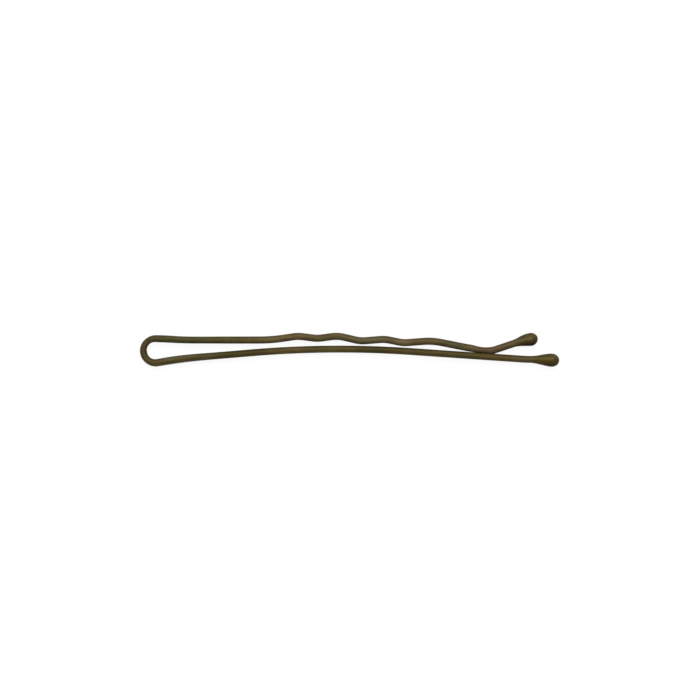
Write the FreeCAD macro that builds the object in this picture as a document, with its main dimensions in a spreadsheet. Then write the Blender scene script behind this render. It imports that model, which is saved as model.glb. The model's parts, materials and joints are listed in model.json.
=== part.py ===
import FreeCAD
import Part
import PartDesign
import Sketcher
import math
import os

# Bobby pin: one length of flat-rolled spring steel wire, bent back on itself at a round bow,
# baked in a thin lacquer, with a drop of enamel on each cut end.
# The pin lies on its side. X runs from the bow to the tips, Y from the straight leg to the
# crimped leg, and Z up, across the width of the wire.
# Lengths are in millimetres. Points of the bent wire are on its middle line and are measured
# from the bow's centre. A bend is given by its corner, where its two straight runs would meet.

DIMENSIONS = {
    # The wire and its coat
    "wire_thickness": 0.76,
    "wire_width": 1.32,
    "lacquer_film": 0.04,
    # The bow, to the middle line of the wire
    "bow_radius": 1.44,
    # How far out the legs flex, and the round line that parts leg and bow there
    "flex_station": 5.50,
    "knuckle_radius": 0.50,
    "knuckle_clearance": 0.02,
    # The straight leg: it rises off the bow, arches over at the crown and sinks to its tip
    "knee_x": 3.00,
    "knee_y": -0.940,
    "knee_radius": 50.0,
    "crown_x": 21.10,
    "crown_y": 0.57,
    "crown_radius": 126.0,
    "tip_set_x": 44.20,
    "tip_set_y": -1.00,
    "tip_set_radius": 12.0,
    "straight_ball_x": 47.54,
    "straight_ball_y": -1.10,
    # The crimped leg: it sinks off the bow, runs level and then climbs into the crimps
    "settle_x": 4.00,
    "settle_y": 1.30,
    "settle_radius": 50.0,
    "climb_x": 13.85,
    "climb_y": 1.30,
    "climb_radius": 20.0,
    # The crimps, with one size of bend
    "crest_one_x": 17.10,
    "crest_one_y": 1.78,
    "trough_one_x": 19.40,
    "trough_one_y": 1.48,
    "crest_two_x": 21.90,
    "crest_two_y": 1.81,
    "trough_two_x": 24.60,
    "trough_two_y": 1.17,
    "crest_three_x": 27.50,
    "crest_three_y": 1.41,
    "trough_three_x": 29.75,
    "trough_three_y": 0.955,
    "crimp_radius": 4.2,
    # The last crest, the heel and toe of the foot that closes on the straight leg, and the end
    # that kicks up
    "last_crest_x": 33.20,
    "last_crest_y": 1.222,
    "last_crest_radius": 8.0,
    "heel_x": 37.88,
    "heel_y": 0.292,
    "heel_radius": 12.0,
    "toe_x": 40.64,
    "toe_y": 0.104,
    "toe_radius": 2.5,
    "crimped_ball_x": 44.92,
    "crimped_ball_y": 1.532,
    # The enamel drops: a ball round the wire's end, which reaches a little further than half its
    # height, and a neck that thins out along the wire. A drop can sag to the straight leg's side.
    "ball_height": 1.60,
    "ball_width": 1.68,
    "ball_reach": 0.91,
    "ball_rounding": 0.79,
    "neck_film": 0.03,
    "straight_neck": 2.80,
    "straight_sag": 0.015,
    "crimped_neck": 2.64,
    "crimped_sag": 0.18,
}

# The bends of each leg in order from the bow, each with the cell of its radius
STRAIGHT_LEG = [("knee", "knee_radius"), ("crown", "crown_radius"), ("tip_set", "tip_set_radius")]
CRIMPED_LEG = [
    ("settle", "settle_radius"),
    ("climb", "climb_radius"),
    ("crest_one", "crimp_radius"),
    ("trough_one", "crimp_radius"),
    ("crest_two", "crimp_radius"),
    ("trough_two", "crimp_radius"),
    ("crest_three", "crimp_radius"),
    ("trough_three", "crimp_radius"),
    ("last_crest", "last_crest_radius"),
    ("heel", "heel_radius"),
    ("toe", "toe_radius"),
]

# Sections of the wire, and of the wire with its coat
WIRE = ("Dims.wire_thickness", "Dims.wire_width")
COAT = ("Dims.wire_thickness + 2 * Dims.lacquer_film", "Dims.wire_width + 2 * Dims.lacquer_film")
# Loft stations along the neck of a drop, and the least volume that a real cut takes away
NECK_STATIONS = 6
SMALLEST_CUT = 0.01

doc = FreeCAD.newDocument("BobbyPin")
sheet = doc.addObject("Spreadsheet::Sheet", "Dims")
for row, (alias, size) in enumerate(DIMENSIONS.items(), start=1):
    sheet.set(f"A{row}", alias)
    sheet.set(f"B{row}", str(size))
    sheet.setAlias(f"B{row}", alias)
doc.recompute()


def value(alias):
    """The number that a cell of the sheet holds."""
    return float(sheet.get(alias))


def place(name):
    """A corner or ball centre on the middle line of the wire."""
    return FreeCAD.Vector(value(name + "_x"), value(name + "_y"), 0)


def flex_point(leg, along):
    """A point at a given X on the straight run between the first two bends of a leg."""
    near = place(leg[0][0])
    far = place(leg[1][0])
    return near + (far - near) * ((along - near.x) / (far.x - near.x))


def flex_height(leg):
    """The formula for the Y of a leg's flex axis."""
    near = leg[0][0]
    far = leg[1][0]
    share = f"(Dims.flex_station - Dims.{near}_x) / (Dims.{far}_x - Dims.{near}_x)"
    return f"Dims.{near}_y + (Dims.{far}_y - Dims.{near}_y) * {share}"


def new_body(label):
    """A body for one sub-part, under the name of its file."""
    body = doc.addObject("PartDesign::Body", label)
    body.Label = label
    return body


def flat_sketch(body, name):
    """A sketch on the XY plane of a body."""
    sketch = body.newObject("Sketcher::SketchObject", f"{body.Label}_{name}")
    plane = next(item for item in body.Origin.OriginFeatures if item.Role == "XY_Plane")
    sketch.AttachmentSupport = [(plane, "")]
    sketch.MapMode = "FlatFace"
    return sketch


def tie(sketch, *constraint):
    """A constraint without a number of its own."""
    sketch.addConstraint(Sketcher.Constraint(*constraint))


def bind(sketch, name, formula, *constraint):
    """A named dimension of a sketch, tied to the sheet by a formula."""
    index = sketch.addConstraint(Sketcher.Constraint(*constraint))
    sketch.renameConstraint(index, name)
    sketch.setExpression("Constraints." + name, formula)


def arc(centre, radius, start, end):
    """An arc drawn anticlockwise from one angle to another."""
    circle = Part.Circle(centre, FreeCAD.Vector(0, 0, 1), radius)
    return Part.ArcOfCircle(circle, start, end)


def draw_slot(sketch, name, thickness, width):
    """A slot with full-round ends about the sketch's origin, its width along the sketch's Y axis."""
    radius = 0.3
    top = FreeCAD.Vector(0, radius, 0)
    side = FreeCAD.Vector(radius, 0, 0)
    upper = sketch.addGeometry(arc(top, radius, 0, math.pi))
    left = sketch.addGeometry(Part.LineSegment(top - side, -top - side))
    lower = sketch.addGeometry(arc(-top, radius, math.pi, 2 * math.pi))
    right = sketch.addGeometry(Part.LineSegment(side - top, side + top))
    tie(sketch, "Tangent", upper, 2, left, 1)
    tie(sketch, "Tangent", left, 2, lower, 1)
    tie(sketch, "Tangent", lower, 2, right, 1)
    tie(sketch, "Tangent", right, 2, upper, 1)
    tie(sketch, "Equal", upper, lower)
    tie(sketch, "PointOnObject", upper, 3, -2)
    tie(sketch, "Symmetric", upper, 3, lower, 3, -1, 1)
    bind(sketch, name + "_radius", f"({thickness}) / 2", "Radius", upper, radius)
    centres = f"({width}) - ({thickness})"
    bind(sketch, name + "_centres", centres, "DistanceY", lower, 3, upper, 3, 2 * radius)


def pin_point(path, name, *lines):
    """A construction point at a corner, with the straight runs that point at it."""
    corner = place(name)
    point = path.addGeometry(Part.Point(corner), True)
    bind(path, name + "_along", f"Dims.{name}_x", "DistanceX", -1, 1, point, 1, corner.x)
    bind(path, name + "_across", f"Dims.{name}_y", "DistanceY", -1, 1, point, 1, corner.y)
    for line in lines:
        tie(path, "PointOnObject", point, 1, line)


def draw_run(path, start, bends, end):
    """Straight runs from start to end, with a tangent arc at each bend. Gives the first and last run."""
    points = [start] + [place(name) for name, _ in bends] + [end]
    lines = []
    arcs = []
    line_start = start
    for before, corner, after, (_, size) in zip(points, points[1:], points[2:], bends):
        heading = (corner - before).normalize()
        next_heading = (after - corner).normalize()
        turn = math.atan2(heading.cross(next_heading).z, heading.dot(next_heading))
        radius = value(size)
        set_back = radius * math.tan(abs(turn) / 2)
        arc_start = corner - heading * set_back
        left = FreeCAD.Vector(-heading.y, heading.x, 0)
        centre = arc_start + left * math.copysign(radius, turn)
        start_angle = math.atan2(heading.y, heading.x) - math.copysign(math.pi / 2, turn)
        low, high = sorted((start_angle, start_angle + turn))
        lines.append(path.addGeometry(Part.LineSegment(line_start, arc_start)))
        arcs.append((path.addGeometry(arc(centre, radius, low, high)), turn))
        line_start = corner + next_heading * set_back
    lines.append(path.addGeometry(Part.LineSegment(line_start, end)))
    for before, after, (bend, turn), (name, size) in zip(lines, lines[1:], arcs, bends):
        first, last = (1, 2) if turn > 0 else (2, 1)
        tie(path, "Tangent", before, 2, bend, first)
        tie(path, "Tangent", bend, last, after, 1)
        bind(path, name + "_bend", f"Dims.{size}", "Radius", bend, value(size))
        pin_point(path, name, before, after)
    return lines[0], lines[-1]


def touch_angle(corner, side):
    """The angle on the bow at which a straight run to a corner leaves it."""
    return math.atan2(corner.y, corner.x) + side * math.acos(value("bow_radius") / corner.Length)


def draw_bow_path(body):
    """Middle line of the bow, from the crimped leg's flex axis round to the straight leg's."""
    path = flat_sketch(body, "path")
    radius = value("bow_radius")
    station = value("flex_station")
    upper_angle = touch_angle(place("settle"), 1)
    lower_angle = touch_angle(place("knee"), -1)
    upper_touch = FreeCAD.Vector(math.cos(upper_angle), math.sin(upper_angle), 0) * radius
    lower_touch = FreeCAD.Vector(math.cos(lower_angle), math.sin(lower_angle), 0) * radius
    upper_run, upper_end = draw_run(path, flex_point(CRIMPED_LEG, station), CRIMPED_LEG[:1], upper_touch)
    bow = path.addGeometry(arc(FreeCAD.Vector(), radius, upper_angle, lower_angle + 2 * math.pi))
    lower_end, lower_run = draw_run(path, lower_touch, STRAIGHT_LEG[:1], flex_point(STRAIGHT_LEG, station))
    tie(path, "Coincident", bow, 3, -1, 1)
    tie(path, "Tangent", upper_end, 2, bow, 1)
    tie(path, "Tangent", bow, 2, lower_end, 1)
    pin_point(path, "climb", upper_run)
    pin_point(path, "crown", lower_run)
    bind(path, "bow_size", "Dims.bow_radius", "Radius", bow, radius)
    bind(path, "upper_reach", "Dims.flex_station", "DistanceX", -1, 1, upper_run, 1, station)
    bind(path, "lower_reach", "Dims.flex_station", "DistanceX", -1, 1, lower_run, 2, station)
    return path


def draw_leg_path(body, leg, ball):
    """Middle line of a leg, from the end of its nose to the centre of the ball at its tip."""
    path = flat_sketch(body, "path")
    nose = flex_point(leg, value("flex_station") - value("knuckle_radius"))
    end = place(ball)
    first_run, last_run = draw_run(path, nose, leg[1:], end)
    pin_point(path, leg[0][0], first_run)
    nose_reach = "Dims.flex_station - Dims.knuckle_radius"
    bind(path, "nose_reach", nose_reach, "DistanceX", -1, 1, first_run, 1, nose.x)
    bind(path, "end_along", f"Dims.{ball}_x", "DistanceX", -1, 1, last_run, 2, end.x)
    bind(path, "end_across", f"Dims.{ball}_y", "DistanceY", -1, 1, last_run, 2, end.y)
    return path


def sweep(body, path, *sections):
    """A wire or its coat, swept along a path. A second section is the hollow inside the first."""
    doc.recompute()
    profile = body.newObject("Sketcher::SketchObject", body.Label + "_profile")
    profile.AttachmentSupport = [(path, "Edge1")]
    profile.MapMode = "NormalToEdge"
    for name, (thickness, width) in zip(("outer", "inner"), sections):
        draw_slot(profile, name, thickness, width)
    doc.recompute()
    pipe = body.newObject("PartDesign::AdditivePipe", body.Label + "_sweep")
    pipe.Profile = profile
    pipe.Spine = path
    doc.recompute()


def cut(body, sketch, depth=None):
    """A pocket down from a sketch to a depth, or right through to both sides of it."""
    doc.recompute()
    volume = body.Shape.Volume
    pocket = body.newObject("PartDesign::Pocket", sketch.Label + "_cut")
    pocket.Profile = sketch
    if depth:
        pocket.setExpression("Length", depth)
    else:
        pocket.Type = "ThroughAll"
        pocket.SideType = "Symmetric"
    doc.recompute()
    if body.Shape.Volume > volume - SMALLEST_CUT:
        raise RuntimeError(f"{pocket.Label} cuts nothing")


def flex_sketch(body, name, leg):
    """A sketch with its origin on the flex axis of a leg."""
    sketch = flat_sketch(body, name)
    sketch.setExpression("AttachmentOffset.Base.x", "Dims.flex_station")
    sketch.setExpression("AttachmentOffset.Base.y", flex_height(leg))
    return sketch


def round_nose(body, leg):
    """Rounds the end of a leg about its flex axis."""
    radius = value("knuckle_radius")
    top = FreeCAD.Vector(0, radius, 0)
    back = FreeCAD.Vector(-2 * radius, 0, 0)
    sketch = flex_sketch(body, "nose", leg)
    nose = sketch.addGeometry(arc(FreeCAD.Vector(), radius, math.pi / 2, 1.5 * math.pi))
    under = sketch.addGeometry(Part.LineSegment(-top, back - top))
    behind = sketch.addGeometry(Part.LineSegment(back - top, back + top))
    over = sketch.addGeometry(Part.LineSegment(back + top, top))
    tie(sketch, "Coincident", nose, 3, -1, 1)
    tie(sketch, "PointOnObject", nose, 1, -2)
    tie(sketch, "PointOnObject", nose, 2, -2)
    tie(sketch, "Coincident", nose, 2, under, 1)
    tie(sketch, "Coincident", under, 2, behind, 1)
    tie(sketch, "Coincident", behind, 2, over, 1)
    tie(sketch, "Coincident", over, 2, nose, 1)
    tie(sketch, "Horizontal", under)
    tie(sketch, "Vertical", behind)
    tie(sketch, "Horizontal", over)
    bind(sketch, "nose_size", "Dims.knuckle_radius", "Radius", nose, radius)
    bind(sketch, "depth", "2 * Dims.knuckle_radius", "DistanceX", under, 2, under, 1, 2 * radius)
    cut(body, sketch)


def hollow_end(body, name, leg):
    """Hollows an end of the bow so that the nose of a leg turns in it."""
    radius = value("knuckle_radius") + value("knuckle_clearance")
    sketch = flex_sketch(body, name, leg)
    hollow = sketch.addGeometry(Part.Circle(FreeCAD.Vector(), FreeCAD.Vector(0, 0, 1), radius))
    tie(sketch, "Coincident", hollow, 3, -1, 1)
    hollow_size = "Dims.knuckle_radius + Dims.knuckle_clearance"
    bind(sketch, "hollow_size", hollow_size, "Radius", hollow, radius)
    cut(body, sketch)


def make_bow(label, *sections):
    """The bow's wire or its coat."""
    body = new_body(label)
    sweep(body, draw_bow_path(body), *sections)
    hollow_end(body, "upper_hollow", CRIMPED_LEG)
    hollow_end(body, "lower_hollow", STRAIGHT_LEG)
    return body


def make_leg(label, leg, ball, *sections):
    """A leg's wire or its coat."""
    body = new_body(label)
    sweep(body, draw_leg_path(body, leg, ball), *sections)
    round_nose(body, leg)
    return body


def make_tip(label, leg, ball, neck, sag):
    """An enamel drop along its own Z axis, with the centre of the ball at the origin."""
    body = new_body(label)
    stations = []
    for index in range(NECK_STATIONS + 1):
        share = index / NECK_STATIONS
        swell = 3 * share ** 2 - 2 * share ** 3
        droop = share ** 3
        station = flat_sketch(body, f"station_{index}")
        station.setExpression("AttachmentOffset.Base.x", f"-Dims.{sag} * {droop:.4f}")
        station.setExpression("AttachmentOffset.Base.z", f"-Dims.{neck} * {1 - share:.4f}")
        sizes = [
            f"({coat} + 2 * Dims.neck_film) * {1 - swell:.4f} + {full} * {swell:.4f}"
            for coat, full in zip(COAT, ("Dims.ball_height", "Dims.ball_width"))
        ]
        draw_slot(station, "section", *sizes)
        stations.append(station)
    doc.recompute()
    drop = body.newObject("PartDesign::AdditiveLoft", label + "_neck")
    drop.Profile = stations[0]
    drop.Sections = stations[1:]
    doc.recompute()
    dome = body.newObject("PartDesign::Pad", label + "_ball")
    dome.Profile = stations[-1]
    dome.setExpression("Length", "Dims.ball_reach")
    doc.recompute()
    rim = [
        f"Edge{number}"
        for number, edge in enumerate(dome.Shape.Edges, start=1)
        if edge.BoundBox.ZMin > value("ball_reach") - 0.001
    ]
    rounding = body.newObject("PartDesign::Fillet", label + "_rounding")
    rounding.Base = (dome, rim)
    rounding.setExpression("Radius", "Dims.ball_rounding")
    doc.recompute()
    socket = flat_sketch(body, "socket")
    draw_slot(socket, "section", *COAT)
    cut(body, socket, f"Dims.{neck}")
    centre = place(ball)
    along = (centre - place(leg[-1][0])).normalize()
    upward = FreeCAD.Vector(0, 0, 1)
    turned = FreeCAD.Rotation(upward.cross(along), upward, along, "ZYX")
    body.Placement = FreeCAD.Placement(centre, turned)
    return body


bodies = [
    make_leg("straight_leg_wire", STRAIGHT_LEG, "straight_ball", WIRE),
    make_leg("straight_leg_lacquer", STRAIGHT_LEG, "straight_ball", COAT, WIRE),
    make_tip("straight_leg_tip", STRAIGHT_LEG, "straight_ball", "straight_neck", "straight_sag"),
    make_bow("bow_wire", WIRE),
    make_bow("bow_lacquer", COAT, WIRE),
    make_leg("crimped_leg_wire", CRIMPED_LEG, "crimped_ball", WIRE),
    make_leg("crimped_leg_lacquer", CRIMPED_LEG, "crimped_ball", COAT, WIRE),
    make_tip("crimped_leg_tip", CRIMPED_LEG, "crimped_ball", "crimped_neck", "crimped_sag"),
]

# The pin lies on the floor with the middle of its outline over the origin.
outline = Part.makeCompound([body.Shape for body in bodies]).optimalBoundingBox(False)
middle = outline.Center
shift = FreeCAD.Vector(-round(middle.x, 2), -round(middle.y, 2), -round(outline.ZMin, 2))
for body in bodies:
    body.Placement.Base = body.Placement.Base + shift
doc.recompute()

for item in doc.Objects:
    if "Invalid" in item.State or "Error" in item.State:
        raise RuntimeError(f"{item.Label} did not come out: {item.State}")
os.makedirs("parts", exist_ok=True)
for body in bodies:
    shape = body.Shape
    if shape.isNull() or not shape.isValid() or len(shape.Solids) != 1:
        raise RuntimeError(f"{body.Label} is not one good solid")
    box = shape.BoundBox
    print(f"{body.Label}: {shape.Volume:.4f} mm3, {len(shape.Faces)} faces, "
          f"X {box.XMin:.3f} to {box.XMax:.3f}, Y {box.YMin:.3f} to {box.YMax:.3f}, "
          f"Z {box.ZMin:.3f} to {box.ZMax:.3f}")
    shape.exportStep(f"parts/{body.Label}.step")
print(f"The bow's centre is at X {shift.x:.4f}, Y {shift.y:.4f}, Z {shift.z:.4f}")
for name, leg in (("straight", STRAIGHT_LEG), ("crimped", CRIMPED_LEG)):
    axis = flex_point(leg, value("flex_station")) + shift
    print(f"{name} leg flexes about X {axis.x:.4f}, Y {axis.y:.4f}")
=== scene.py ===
import bmesh
import bpy
import json
import math
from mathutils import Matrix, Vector


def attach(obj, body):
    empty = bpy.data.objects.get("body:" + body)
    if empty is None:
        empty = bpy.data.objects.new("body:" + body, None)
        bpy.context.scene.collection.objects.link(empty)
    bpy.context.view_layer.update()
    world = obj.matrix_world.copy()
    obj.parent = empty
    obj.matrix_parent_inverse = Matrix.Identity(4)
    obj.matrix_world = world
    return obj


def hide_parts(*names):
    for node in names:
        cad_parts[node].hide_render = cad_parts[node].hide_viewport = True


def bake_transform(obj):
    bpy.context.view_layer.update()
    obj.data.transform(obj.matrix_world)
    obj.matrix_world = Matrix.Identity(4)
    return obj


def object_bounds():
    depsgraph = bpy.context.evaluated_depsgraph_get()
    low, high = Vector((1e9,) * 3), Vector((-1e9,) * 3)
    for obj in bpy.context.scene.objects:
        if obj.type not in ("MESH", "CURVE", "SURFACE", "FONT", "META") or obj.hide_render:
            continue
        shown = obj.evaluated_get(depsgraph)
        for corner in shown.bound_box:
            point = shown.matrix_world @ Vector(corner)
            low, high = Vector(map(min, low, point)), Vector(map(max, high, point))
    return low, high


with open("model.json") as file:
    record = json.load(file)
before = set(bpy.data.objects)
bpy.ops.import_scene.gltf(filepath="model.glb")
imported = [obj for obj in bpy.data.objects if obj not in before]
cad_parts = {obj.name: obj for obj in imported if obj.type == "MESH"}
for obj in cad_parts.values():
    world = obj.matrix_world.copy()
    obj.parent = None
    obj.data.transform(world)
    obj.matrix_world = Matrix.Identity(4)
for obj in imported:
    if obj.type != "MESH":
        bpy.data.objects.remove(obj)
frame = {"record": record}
cad_low, cad_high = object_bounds()

# Straight side of the wire: half of the bow and the smooth, gently arched leg. The pin is one length
# of flat-rolled spring steel with round edges, wound half round a peg and set in its arch by rollers.
# It is dipped in a thin bronze-brown lacquer, which is baked on.
MM = 0.001
COAT_THICKNESS = 0.84 * MM
COAT_WIDTH = 1.40 * MM
BOW_RADIUS = 1.44 * MM
SECTION_POINTS = 46
RUN_STEP = 0.25 * MM
TURN_STEP = math.radians(2.5)
SMOOTH_ANGLE = math.radians(35)
# Corners of the leg's middle line in millimetres from the bow's centre, with the radius of each bend
STRAIGHT_BENDS = [
    (3.00, -0.940, 50.0),
    (21.10, 0.57, 126.0),
    (44.20, -1.00, 12.0),
]
STRAIGHT_BALL = (47.54, -1.10)

mounts = {mount["name"]: mount for mount in frame["record"]["mounts"]}
bow_centre = Vector(mounts["bow_eye"]["pos_m"])


def spot(x, y):
    """A point at the middle height of the wire, from its millimetres along and across the pin."""
    return bow_centre + Vector((x * MM, y * MM, 0))


def select_points(piece, wanted):
    """Selects the points of a piece in edit mode that pass a test."""
    mesh = bmesh.from_edit_mesh(piece.data)
    for point in mesh.verts:
        point.select = wanted(point)
    mesh.select_flush_mode()
    bmesh.update_edit_mesh(piece.data)


def part_halves(piece, ring, across, reach):
    """Moves the upper and the lower half of a ring of points apart along Z, and selects the whole ring."""
    for side in (1, -1):
        select_points(piece, lambda point: ring(point) and side * (point.co.z - across) > 0)
        bpy.ops.transform.translate(value=(0, 0, side * reach))
    select_points(piece, ring)


def start_section(name, place, heading):
    """A face with the slot shape of the coated wire, square to the way it runs, open in edit mode."""
    bpy.ops.object.select_all(action="DESELECT")
    bpy.ops.mesh.primitive_circle_add(
        vertices=SECTION_POINTS,
        radius=COAT_THICKNESS / 2,
        fill_type="NGON",
        location=place,
        rotation=(0, math.pi / 2, math.atan2(heading.y, heading.x)),
    )
    piece = bpy.context.object
    piece.name = name
    piece.data.name = name
    bpy.ops.object.transform_apply(location=True, rotation=True, scale=True)
    bpy.ops.object.mode_set(mode="EDIT")
    part_halves(piece, lambda point: True, place.z, (COAT_WIDTH - COAT_THICKNESS) / 2)
    return piece


def draw_out(length):
    """Extrudes the end of the wire along a straight run, in short steps."""
    steps = math.ceil(length.length / RUN_STEP)
    for _ in range(steps):
        bpy.ops.mesh.extrude_region_move(TRANSFORM_OT_translate={"value": length / steps})


def wind(centre, radius, turn):
    """Spins the end of the wire round a bend, anticlockwise from above where the turn is positive."""
    steps = math.ceil(max(abs(turn) * radius / RUN_STEP, abs(turn) / TURN_STEP))
    bpy.ops.mesh.spin(steps=steps, angle=-turn, center=centre, axis=(0, 0, 1), dupli=False)


def finish_mesh():
    """Turns all faces outwards, leaves edit mode and shades the round faces smooth."""
    bpy.ops.mesh.select_all(action="SELECT")
    bpy.ops.mesh.normals_make_consistent(inside=False)
    bpy.ops.object.mode_set(mode="OBJECT")
    bpy.ops.object.shade_smooth_by_angle(angle=SMOOTH_ANGLE)


def lacquered_wire(name, bends, end):
    """One side of the wire, from the bow's apex along the bends of a leg to its end."""
    corners = [(spot(x, y), radius * MM) for x, y, radius in bends]
    first = corners[0][0] - bow_centre
    side = math.copysign(1, first.y)
    apex = bow_centre - Vector((BOW_RADIUS, 0, 0))
    piece = start_section(name, apex, Vector((0, side, 0)))
    leave = abs(math.atan2(first.y, first.x)) + math.acos(BOW_RADIUS / first.length)
    wind(bow_centre, BOW_RADIUS, side * (leave - math.pi))
    point = bow_centre + Vector((math.cos(leave), side * math.sin(leave), 0)) * BOW_RADIUS
    ends = [corner for corner, _ in corners[1:]] + [spot(*end)]
    for (corner, radius), after in zip(corners, ends):
        heading = (corner - point).normalized()
        next_heading = (after - corner).normalized()
        turn = math.atan2(heading.cross(next_heading).z, heading.dot(next_heading))
        set_back = radius * math.tan(abs(turn) / 2)
        bend_start = corner - heading * set_back
        draw_out(bend_start - point)
        left = Vector((-heading.y, heading.x, 0))
        wind(bend_start + left * math.copysign(radius, turn), radius, turn)
        point = corner + next_heading * set_back
    draw_out(spot(*end) - point)
    finish_mesh()
    return piece


# The bow is pressed thinner from inside, most between its apex and the crimped leg
THIN_ANGLE = math.radians(140)
THIN_REACH = math.radians(65)
THIN_DEPTH = 0.09 * MM


def thin_bow(piece):
    """Presses the inner side of the bow outwards, most at one place and fading out round the bow."""
    for point in piece.data.vertices:
        arm = (point.co - bow_centre) * Vector((1, 1, 0))
        away = abs(math.atan2(arm.y, arm.x) % math.tau - THIN_ANGLE)
        if away < THIN_REACH and point.co.x < bow_centre.x + BOW_RADIUS:
            outwards = arm.normalized()
            inner = max(0, -point.normal.dot(outwards))
            fade = math.cos(away / THIN_REACH * math.pi / 2) ** 2
            point.co += outwards * THIN_DEPTH * inner * fade


straight_side = lacquered_wire("straight_side_of_wire", STRAIGHT_BENDS, STRAIGHT_BALL)
thin_bow(straight_side)

LACQUER = {
    "olive": (0.063, 0.0511, 0.0164),
    "russet": (0.0735, 0.0514, 0.0176),
    "roughness": (0.42, 0.56),
    "peel": 0.25,
}
# Shades that the lacquer passes through along the leg: where each starts and where it is full, in
# millimetres from the bow's centre, and its factors on the coat's red, green and blue
STRAIGHT_SHADES = [
    (6.6, 8.6, (0.76, 0.74, 0.58)),
    (12.0, 16.0, (1.26, 1.20, 1.22)),
    (21.5, 24.9, (0.80, 0.84, 0.78)),
    (36.5, 40.5, (1.28, 1.10, 1.02)),
    (41.8, 44.2, (1.33, 1.23, 1.42)),
]
# Marks all over the coat, each with its grain, the part of the noise's range that it runs over, and its
# levels: broad reaches, olive and russet patches, streaks drawn along the wire, dark specks, and peel
REACH_GRAIN = 8 * MM
REACH_SPAN = (0.35, 0.65)
REACH_LEVELS = (0.90, 1.10)
PATCH_GRAIN = 3.2 * MM
PATCH_SPAN = (0.40, 0.60)
STREAK_GRAIN = 0.45 * MM
STREAK_DRAW = 4
STREAK_SPAN = (0.3, 0.7)
STREAK_LEVELS = (0.72, 1.28)
SPECK_GRAIN = 0.30 * MM
SPECK_SPAN = (0.72, 0.78)
SPECK_DEPTH = 0.6
PEEL_GRAIN = 0.14 * MM
PEEL_DEPTH = 0.01 * MM
# One dark pit on the upper edge of the bow, in millimetres from its centre, with its core and its rim
PIT = (-0.78, 1.26)
PIT_SPAN = (0.06 * MM, 0.14 * MM)
PIT_DEPTH = 0.85
PIT_SHADE = (0.016, 0.012, 0.006)
COAT_METALLIC = 0.2
COAT_SPECULAR = 0.06


def bronze_finish(name, coat, shades, mark, mark_blend, mark_shade):
    """A baked bronze-brown coat: olive and russet patches, faint streaks, rare dark pits, fine peel.

    It passes through a few shades along the pin, and takes on another by a mark on the piece's points.
    """
    material = bpy.data.materials.new(name)
    material.use_nodes = True
    nodes = material.node_tree.nodes
    links = material.node_tree.links
    shader = nodes["Principled BSDF"]
    place = nodes.new("ShaderNodeTexCoord").outputs["Object"]

    def noise(grain, detail, draw=1):
        """Clouds of one grain, drawn out along the pin by a factor."""
        drawn = nodes.new("ShaderNodeMapping")
        drawn.inputs["Scale"].default_value = (1 / draw, 1, 1)
        links.new(place, drawn.inputs["Vector"])
        cloud = nodes.new("ShaderNodeTexNoise")
        cloud.inputs["Scale"].default_value = 1 / grain
        cloud.inputs["Detail"].default_value = detail
        links.new(drawn.outputs["Vector"], cloud.inputs["Vector"])
        return cloud.outputs["Fac"]

    def spread(level, span, levels):
        """A level that runs over a span, made to run over other levels."""
        change = nodes.new("ShaderNodeMapRange")
        for socket, limit in zip(("From Min", "From Max", "To Min", "To Max"), (*span, *levels)):
            change.inputs[socket].default_value = limit
        links.new(level, change.inputs["Value"])
        return change.outputs["Result"]

    def mix(kind, share, first, second):
        """Two colours mixed by a share: each of the three is a plain value or a socket to link."""
        blend = nodes.new("ShaderNodeMix")
        blend.data_type = "RGBA"
        blend.blend_type = kind
        # This node has sockets for each kind of value: these are its share and its two colours
        sockets = (blend.inputs[0], blend.inputs[6], blend.inputs[7])
        for socket, entry in zip(sockets, (share, first, second)):
            if isinstance(entry, bpy.types.NodeSocket):
                links.new(entry, socket)
            else:
                socket.default_value = entry
        return blend.outputs[2]

    reaches = spread(noise(REACH_GRAIN, detail=1), REACH_SPAN, REACH_LEVELS)
    patches = spread(noise(PATCH_GRAIN, detail=2), PATCH_SPAN, (0, 1))
    streaks = noise(STREAK_GRAIN, detail=3, draw=STREAK_DRAW)
    specks = spread(noise(SPECK_GRAIN, detail=1), SPECK_SPAN, (0, SPECK_DEPTH))
    to_pit = nodes.new("ShaderNodeVectorMath")
    to_pit.operation = "DISTANCE"
    to_pit.inputs[1].default_value = spot(*PIT) + Vector((0, 0, COAT_WIDTH / 2))
    links.new(place, to_pit.inputs[0])
    pit = spread(to_pit.outputs["Value"], PIT_SPAN, (PIT_DEPTH, 0))
    axes = nodes.new("ShaderNodeSeparateXYZ")
    links.new(place, axes.inputs["Vector"])
    shade = (1, 1, 1, 1)
    for start, end, next_shade in shades:
        change = spread(axes.outputs["X"], (spot(start, 0).x, spot(end, 0).x), (0, 1))
        shade = mix("MIX", change, shade, (*next_shade, 1))
    marked = nodes.new("ShaderNodeAttribute")
    marked.attribute_name = mark

    tint = mix("MIX", patches, (*coat["olive"], 1), (*coat["russet"], 1))
    for factor in (shade, reaches, spread(streaks, STREAK_SPAN, STREAK_LEVELS)):
        tint = mix("MULTIPLY", 1.0, tint, factor)
    for dark in (specks, pit):
        tint = mix("MIX", dark, tint, (*PIT_SHADE, 1))
    tint = mix(mark_blend, marked.outputs["Fac"], tint, (*mark_shade, 1))
    links.new(tint, shader.inputs["Base Color"])
    links.new(spread(streaks, STREAK_SPAN, coat["roughness"]), shader.inputs["Roughness"])
    shader.inputs["Metallic"].default_value = COAT_METALLIC
    shader.inputs["Specular IOR Level"].default_value = COAT_SPECULAR
    bump = nodes.new("ShaderNodeBump")
    bump.inputs["Strength"].default_value = coat["peel"]
    bump.inputs["Distance"].default_value = PEEL_DEPTH
    links.new(noise(PEEL_GRAIN, detail=2), bump.inputs["Height"])
    links.new(bump.outputs["Normal"], shader.inputs["Normal"])
    return material


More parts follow.
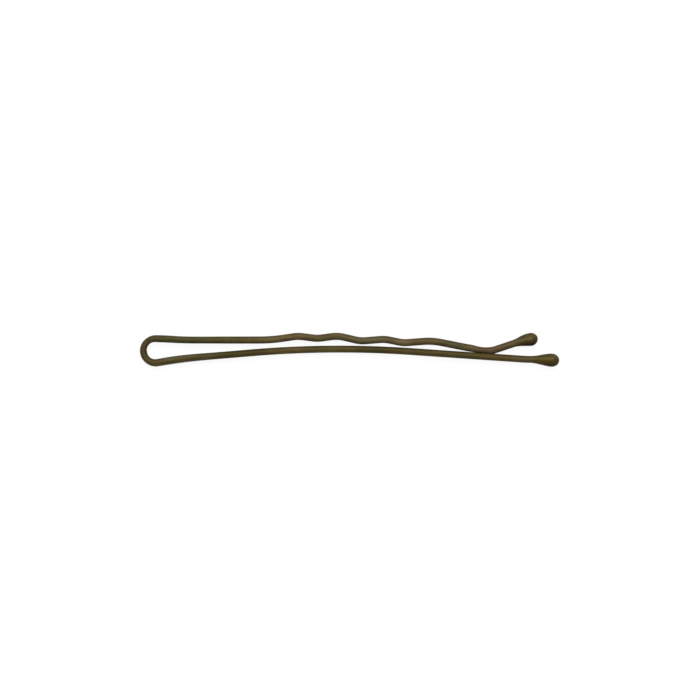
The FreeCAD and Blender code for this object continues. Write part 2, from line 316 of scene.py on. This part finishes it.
def put_mark(piece, mark, level):
    """Gives each point of a piece a level from 0 to 1, worked out from the point."""
    levels = piece.data.attributes.new(mark, "FLOAT", "POINT").data
    for point, entry in zip(piece.data.vertices, levels):
        entry.value = level(point)


# A painted pale sheen of reflected light on the inner side next to the bow, in millimetres along the pin
SHEEN_START = 0.2
SHEEN_END = 5.6
SHEEN_FADE = 1.2
SHEEN_SHADE = (0.17, 0.155, 0.12)


def sheen_level(point):
    """How strong the painted sheen is: only on the inner side, and fading out along the leg."""
    along = (point.co.x - bow_centre.x) / MM
    fade = min((along - SHEEN_START) / SHEEN_FADE, (SHEEN_END - along) / SHEEN_FADE, 1)
    return max(0, fade) * max(0, point.normal.y) ** 2


# The straight side's lacquer takes the painted sheen by its mark on the inner side
straight_lacquer = bronze_finish(
    "straight_lacquer", LACQUER, STRAIGHT_SHADES, "painted_sheen", "MIX", SHEEN_SHADE
)
straight_side.data.materials.append(straight_lacquer)
put_mark(straight_side, "painted_sheen", sheen_level)

# The wire is twisted a little about its own length where it leaves the bow
TWIST_PLACE = (2.20, -1.00)
TWIST = math.radians(9)
TWIST_FADE = 5.5 * MM

twist_place = spot(*TWIST_PLACE)
bpy.ops.object.mode_set(mode="EDIT")
select_points(straight_side, lambda point: abs(point.co.x - twist_place.x) < RUN_STEP)
bpy.ops.transform.rotate(
    value=TWIST,
    orient_axis="X",
    center_override=twist_place,
    use_proportional_edit=True,
    proportional_edit_falloff="SMOOTH",
    proportional_size=TWIST_FADE,
)
bpy.ops.object.mode_set(mode="OBJECT")

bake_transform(straight_side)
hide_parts("straight_leg_wire", "straight_leg_lacquer", "bow_wire", "bow_lacquer")

# Crimped side of the wire: the other half of the bow and the leg that grips. A pair of dies presses
# three waves into it and a long last one, then the foot that closes on the straight leg, and kicks
# its end up so that the hair slips in. It carries the same lacquer.
CRIMP_RADIUS = 4.2
CRIMPED_BENDS = [
    (4.00, 1.30, 50.0),
    (13.85, 1.30, 20.0),
    (17.10, 1.78, CRIMP_RADIUS),
    (19.40, 1.48, CRIMP_RADIUS),
    (21.90, 1.81, CRIMP_RADIUS),
    (24.60, 1.17, CRIMP_RADIUS),
    (27.50, 1.41, CRIMP_RADIUS),
    (29.75, 0.955, CRIMP_RADIUS),
    (33.20, 1.222, 8.0),
    (37.88, 0.292, 12.0),
    (40.64, 0.104, 2.5),
]
CRIMPED_BALL = (44.92, 1.532)

crimped_side = lacquered_wire("crimped_side_of_wire", CRIMPED_BENDS, CRIMPED_BALL)
thin_bow(crimped_side)

# The dies spread the wire a little, from before the first wave to the tip
DIE_START = 9.0
DIE_SPREAD = 0.015 * MM
DIE_FADE = 4 * MM

die_start = spot(DIE_START, 0)
bpy.ops.object.mode_set(mode="EDIT")
select_points(crimped_side, lambda point: point.co.x > die_start.x)
bpy.ops.transform.shrink_fatten(
    value=DIE_SPREAD,
    use_proportional_edit=True,
    proportional_edit_falloff="SMOOTH",
    proportional_size=DIE_FADE,
)

# The foot is pressed flatter towards its sole
FOOT_SOLE = (39.45, -0.27)
FOOT_REACH = 0.25 * MM
FOOT_FADE = 1.5 * MM
FOOT_PRESS = 0.80

foot_sole = spot(*FOOT_SOLE)
select_points(crimped_side, lambda point: abs(point.co.x - foot_sole.x) < FOOT_REACH)
bpy.ops.transform.resize(
    value=(1, FOOT_PRESS, 1),
    center_override=foot_sole,
    use_proportional_edit=True,
    proportional_edit_falloff="SMOOTH",
    proportional_size=FOOT_FADE,
)

# The sole is drawn out under the toe, and the outer side bulges where the leg leaves the bow: the place in
# millimetres along the pin, the side across it, and how far the bulge fades out
BULGES = [
    (40.45, -1, 0.8 * MM),
    (0.90, 1, 2.0 * MM),
]
BULGE_RISE = 0.05 * MM
BULGE_REACH = 0.15 * MM
BULGE_FACING = 0.5

for along, side, fade in BULGES:
    middle = spot(along, 0).x
    select_points(
        crimped_side,
        lambda point: abs(point.co.x - middle) < BULGE_REACH and side * point.normal.y > BULGE_FACING,
    )
    bpy.ops.transform.translate(
        value=(0, side * BULGE_RISE, 0),
        use_proportional_edit=True,
        use_proportional_connected=True,
        proportional_edit_falloff="SMOOTH",
        proportional_size=fade,
    )
bpy.ops.object.mode_set(mode="OBJECT")

# The lacquer changes shade along the leg: greener past the bow, lighter over the waves, darker before the
# foot and smoky on it
CRIMPED_SHADES = [
    (-1.5, -0.7, (0.87, 0.97, 0.945)),
    (6.0, 8.5, (1.02, 1.12, 1.06)),
    (10.6, 13.4, (1.33, 1.28, 1.50)),
    (20.2, 22.4, (1.52, 1.54, 1.98)),
    (30.0, 33.0, (1.06, 1.09, 1.33)),
    (36.5, 39.5, (1.50, 1.24, 1.98)),
    (41.4, 42.8, (1.38, 1.21, 1.60)),
]
# The crests that stand out on the outer side are worn a little lighter, in millimetres across the pin
CREST_LOW = 1.70
CREST_HIGH = 2.20
WEAR_SHADE = (1.25, 1.22, 1.22)


def worn_level(point):
    """How far the crests are worn: on the outer side of the leg, more the further a crest stands out."""
    height = (point.co.y - bow_centre.y) / MM
    return max(0, point.normal.y) * min(max((height - CREST_LOW) / (CREST_HIGH - CREST_LOW), 0), 1)


crimped_lacquer = bronze_finish(
    "crimped_lacquer", LACQUER, CRIMPED_SHADES, "worn", "MULTIPLY", WEAR_SHADE
)
crimped_side.data.materials.append(crimped_lacquer)
put_mark(crimped_side, "worn", worn_level)
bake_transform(crimped_side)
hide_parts("crimped_leg_wire", "crimped_leg_lacquer", "bow_wire", "bow_lacquer")

# Drop tips: each cut end of the wire is dipped in thick enamel of the lacquer's colour. It gathers into
# a ball round the end, with a neck that runs out along the wire, and cures smooth and a little glossier.
# The drop on the kicked-up end has sagged towards the straight leg.
BALL_HEIGHT = 1.60 * MM
BALL_WIDTH = 1.675 * MM
BALL_REACH = 0.91 * MM
NECK_SINK = 0.01 * MM
NECK_RINGS = 18
DOME_RINGS = 14
RING_TOLERANCE = 0.001 * MM
STRAIGHT_NECK = 2.80 * MM
STRAIGHT_DELAY = 1.15
STRAIGHT_SAG = 0.015 * MM
CRIMPED_NECK = 2.64 * MM
CRIMPED_DELAY = 1.30
CRIMPED_SAG = 0.18 * MM
ENAMEL = {
    "olive": (0.078, 0.0618, 0.0203),
    "russet": (0.093, 0.0645, 0.0210),
    "roughness": (0.36, 0.48),
    "peel": 0.15,
}
# The crimped leg's drop takes up the shade of its leg at the neck, and the straight leg's drop is browner
ENAMEL_SHADES = [
    (41.0, 42.0, (1.12, 1.00, 1.36)),
    (42.6, 44.2, (1.03, 1.02, 1.02)),
    (44.8, 46.0, (0.98, 0.89, 0.74)),
]
# Painted shade on the lower side of each drop, away from the light: the heights that the shade starts and
# is full at, as shares of half the ball, and how far along the neck it takes to come up
STRAIGHT_DROP_SHADING = (0.25, -0.50)
CRIMPED_DROP_SHADING = (0.05, -0.40)
DROP_SHADING_RUN = 1.4 * MM
DROP_SHADE_COLOUR = (0.55, 0.47, 0.29)


def sunk(share, sag):
    """How far the middle of a drop has sagged, a share of the way along its neck to the ball."""
    return sag * share ** 3


def drop_shade_level(point, neck, sag, shade_span):
    """How much painted shade the enamel takes: none on the upper side, full on the lower, fading along the
    neck.
    """
    top, bottom = shade_span
    share = min(1 + point.co.x / neck, 1)
    height = (point.co.y + sunk(share, sag)) / (BALL_HEIGHT / 2)
    depth = min(max((top - height) / (top - bottom), 0), 1)
    return depth * min(max((neck + point.co.x) / DROP_SHADING_RUN, 0), 1)


def drop_rings(neck, delay, sag):
    """The rings of a drop along X: their place along and across, half their height and half their width."""
    start_height = COAT_THICKNESS / 2 - NECK_SINK
    start_width = COAT_WIDTH / 2 - NECK_SINK
    rings = []
    for ring in range(1, NECK_RINGS + 1):
        share = ring / NECK_RINGS
        late = share ** delay
        swell = 3 * late ** 2 - 2 * late ** 3
        height = start_height + (BALL_HEIGHT / 2 - start_height) * swell
        width = start_width + (BALL_WIDTH / 2 - start_width) * swell
        rings.append((neck * (share - 1), -sunk(share, sag), height, width))
    for ring in range(1, DOME_RINGS):
        lean = math.pi / 2 * ring / DOME_RINGS
        closing = math.cos(lean)
        height = BALL_HEIGHT / 2 * closing
        width = BALL_WIDTH / 2 * closing
        rings.append((BALL_REACH * math.sin(lean), -sag, height, width))
    return rings


def drop_tip(name, before, ball, neck, delay, sag, shade_span):
    """An enamel drop, modelled along X with the ball at the origin and then laid on the end of the wire."""
    piece = start_section(name, Vector((-neck, 0, 0)), Vector((1, 0, 0)))
    fit = 1 - NECK_SINK / (COAT_THICKNESS / 2)
    bpy.ops.transform.resize(value=(1, fit, fit), center_override=(-neck, 0, 0))
    along = -neck
    across = 0
    height = COAT_THICKNESS / 2 * fit
    width = COAT_WIDTH / 2 * fit
    for next_along, next_across, next_height, next_width in drop_rings(neck, delay, sag):
        step = (next_along - along, next_across - across, 0)
        bpy.ops.mesh.extrude_region_move(TRANSFORM_OT_translate={"value": step})
        grow = next_height / height
        bpy.ops.transform.resize(value=(1, grow, grow), center_override=(next_along, next_across, 0))
        gap = (next_width - next_height) - (width - height) * grow
        part_halves(piece, lambda point: abs(point.co.x - next_along) < RING_TOLERANCE, 0, gap)
        along, across, height, width = next_along, next_across, next_height, next_width
    pole = (BALL_REACH - along, 0, 0)
    bpy.ops.mesh.extrude_region_move(TRANSFORM_OT_translate={"value": pole})
    bpy.ops.mesh.merge(type="CENTER")
    finish_mesh()
    put_mark(piece, "painted_drop_shade", lambda point: drop_shade_level(point, neck, sag, shade_span))
    heading = spot(*ball) - spot(*before)
    piece.location = spot(*ball)
    piece.rotation_euler.z = math.atan2(heading.y, heading.x)
    bpy.ops.object.transform_apply(location=True, rotation=True, scale=True)
    return piece


# The enamel takes a painted shade on the lower side of each drop by its mark
enamel = bronze_finish("tip_enamel", ENAMEL, ENAMEL_SHADES, "painted_drop_shade", "MULTIPLY", DROP_SHADE_COLOUR)
straight_tip = drop_tip(
    "straight_leg_drop",
    STRAIGHT_BENDS[-1][:2],
    STRAIGHT_BALL,
    STRAIGHT_NECK,
    STRAIGHT_DELAY,
    STRAIGHT_SAG,
    STRAIGHT_DROP_SHADING,
)
crimped_tip = drop_tip(
    "crimped_leg_drop",
    CRIMPED_BENDS[-1][:2],
    CRIMPED_BALL,
    CRIMPED_NECK,
    CRIMPED_DELAY,
    CRIMPED_SAG,
    CRIMPED_DROP_SHADING,
)
for tip, leg in ((straight_tip, "straight_leg"), (crimped_tip, "crimped_leg")):
    tip.data.materials.append(enamel)
    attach(tip, leg)
    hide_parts(leg + "_tip")

# Studio: a plain white sheet that the pin lies on, a broad soft light from above and a little from the
# crimped leg's side, and a dim even fill. The sheet is white to the eye and in reflections, throws
# some of the light back on to the sides of the pin, and keeps a faint contact shadow.
SHEET_SIZE = 6.0
SHEET_SHADE = 0.10
SHEET_GLOW = 0.93
SHEET_BOUNCE = 0.65
LIGHT_STRENGTH = 2.28
LIGHT_WIDTH = math.radians(40)
LIGHT_LEAN = math.radians(26)
FILL_STRENGTH = 0.28
ROOM_WHITE = 1.0


def ray_strength(tree, lighting, shown):
    """One strength for the rays that light the pin, another for what is seen, mirrored or behind glass."""
    path = tree.nodes.new("ShaderNodeLightPath")
    level = path.outputs["Is Camera Ray"]
    for ray in ("Is Glossy Ray", "Is Transmission Ray"):
        either = tree.nodes.new("ShaderNodeMath")
        either.operation = "MAXIMUM"
        tree.links.new(level, either.inputs[0])
        tree.links.new(path.outputs[ray], either.inputs[1])
        level = either.outputs[0]
    strength = tree.nodes.new("ShaderNodeMapRange")
    strength.inputs["To Min"].default_value = lighting
    strength.inputs["To Max"].default_value = shown
    tree.links.new(level, strength.inputs["Value"])
    return strength.outputs["Result"]


bpy.ops.object.select_all(action="DESELECT")
bpy.ops.mesh.primitive_plane_add(size=SHEET_SIZE, location=(0, 0, 0))
sheet = bpy.context.object
sheet.name = "white_sheet"
paper = bpy.data.materials.new("white_paper")
paper.use_nodes = True
paper_nodes = paper.node_tree.nodes
paper_links = paper.node_tree.links
paper_nodes.clear()
matt = paper_nodes.new("ShaderNodeBsdfDiffuse")
matt.inputs["Color"].default_value = (SHEET_SHADE, SHEET_SHADE, SHEET_SHADE, 1)
glow = paper_nodes.new("ShaderNodeEmission")
paper_links.new(ray_strength(paper.node_tree, SHEET_BOUNCE, SHEET_GLOW), glow.inputs["Strength"])
both = paper_nodes.new("ShaderNodeAddShader")
paper_links.new(matt.outputs[0], both.inputs[0])
paper_links.new(glow.outputs[0], both.inputs[1])
surface = paper_nodes.new("ShaderNodeOutputMaterial")
paper_links.new(both.outputs[0], surface.inputs["Surface"])
sheet.data.materials.append(paper)

room = bpy.data.worlds.new("studio_room")
room.use_nodes = True
bpy.context.scene.world = room
fill = room.node_tree.nodes["Background"]
fill.inputs["Color"].default_value = (1, 1, 1, 1)
room_strength = ray_strength(room.node_tree, FILL_STRENGTH, ROOM_WHITE)
room.node_tree.links.new(room_strength, fill.inputs["Strength"])

bpy.ops.object.light_add(type="SUN", rotation=(-LIGHT_LEAN, 0, 0))
lamp = bpy.context.object
lamp.name = "soft_overhead_light"
lamp.data.energy = LIGHT_STRENGTH
lamp.data.angle = LIGHT_WIDTH

# Camera: straight above the pin, with the bow on the left and the crimped leg at the top.
VIEW_WIDTH = 84 * MM
VIEW_OFFSET = (0.045 * MM, -0.034 * MM)
LENS = 150
SENSOR = 36
NEAREST = 1 * MM

middle_height = (cad_low.z + cad_high.z) / 2
view_height = middle_height + VIEW_WIDTH * LENS / SENSOR
bpy.ops.object.camera_add(location=(*VIEW_OFFSET, view_height), rotation=(0, 0, 0))
camera = bpy.context.object
camera.data.lens = LENS
camera.data.sensor_width = SENSOR
camera.data.clip_start = NEAREST
bpy.context.scene.camera = camera
bpy.context.scene.view_settings.view_transform = "Standard"
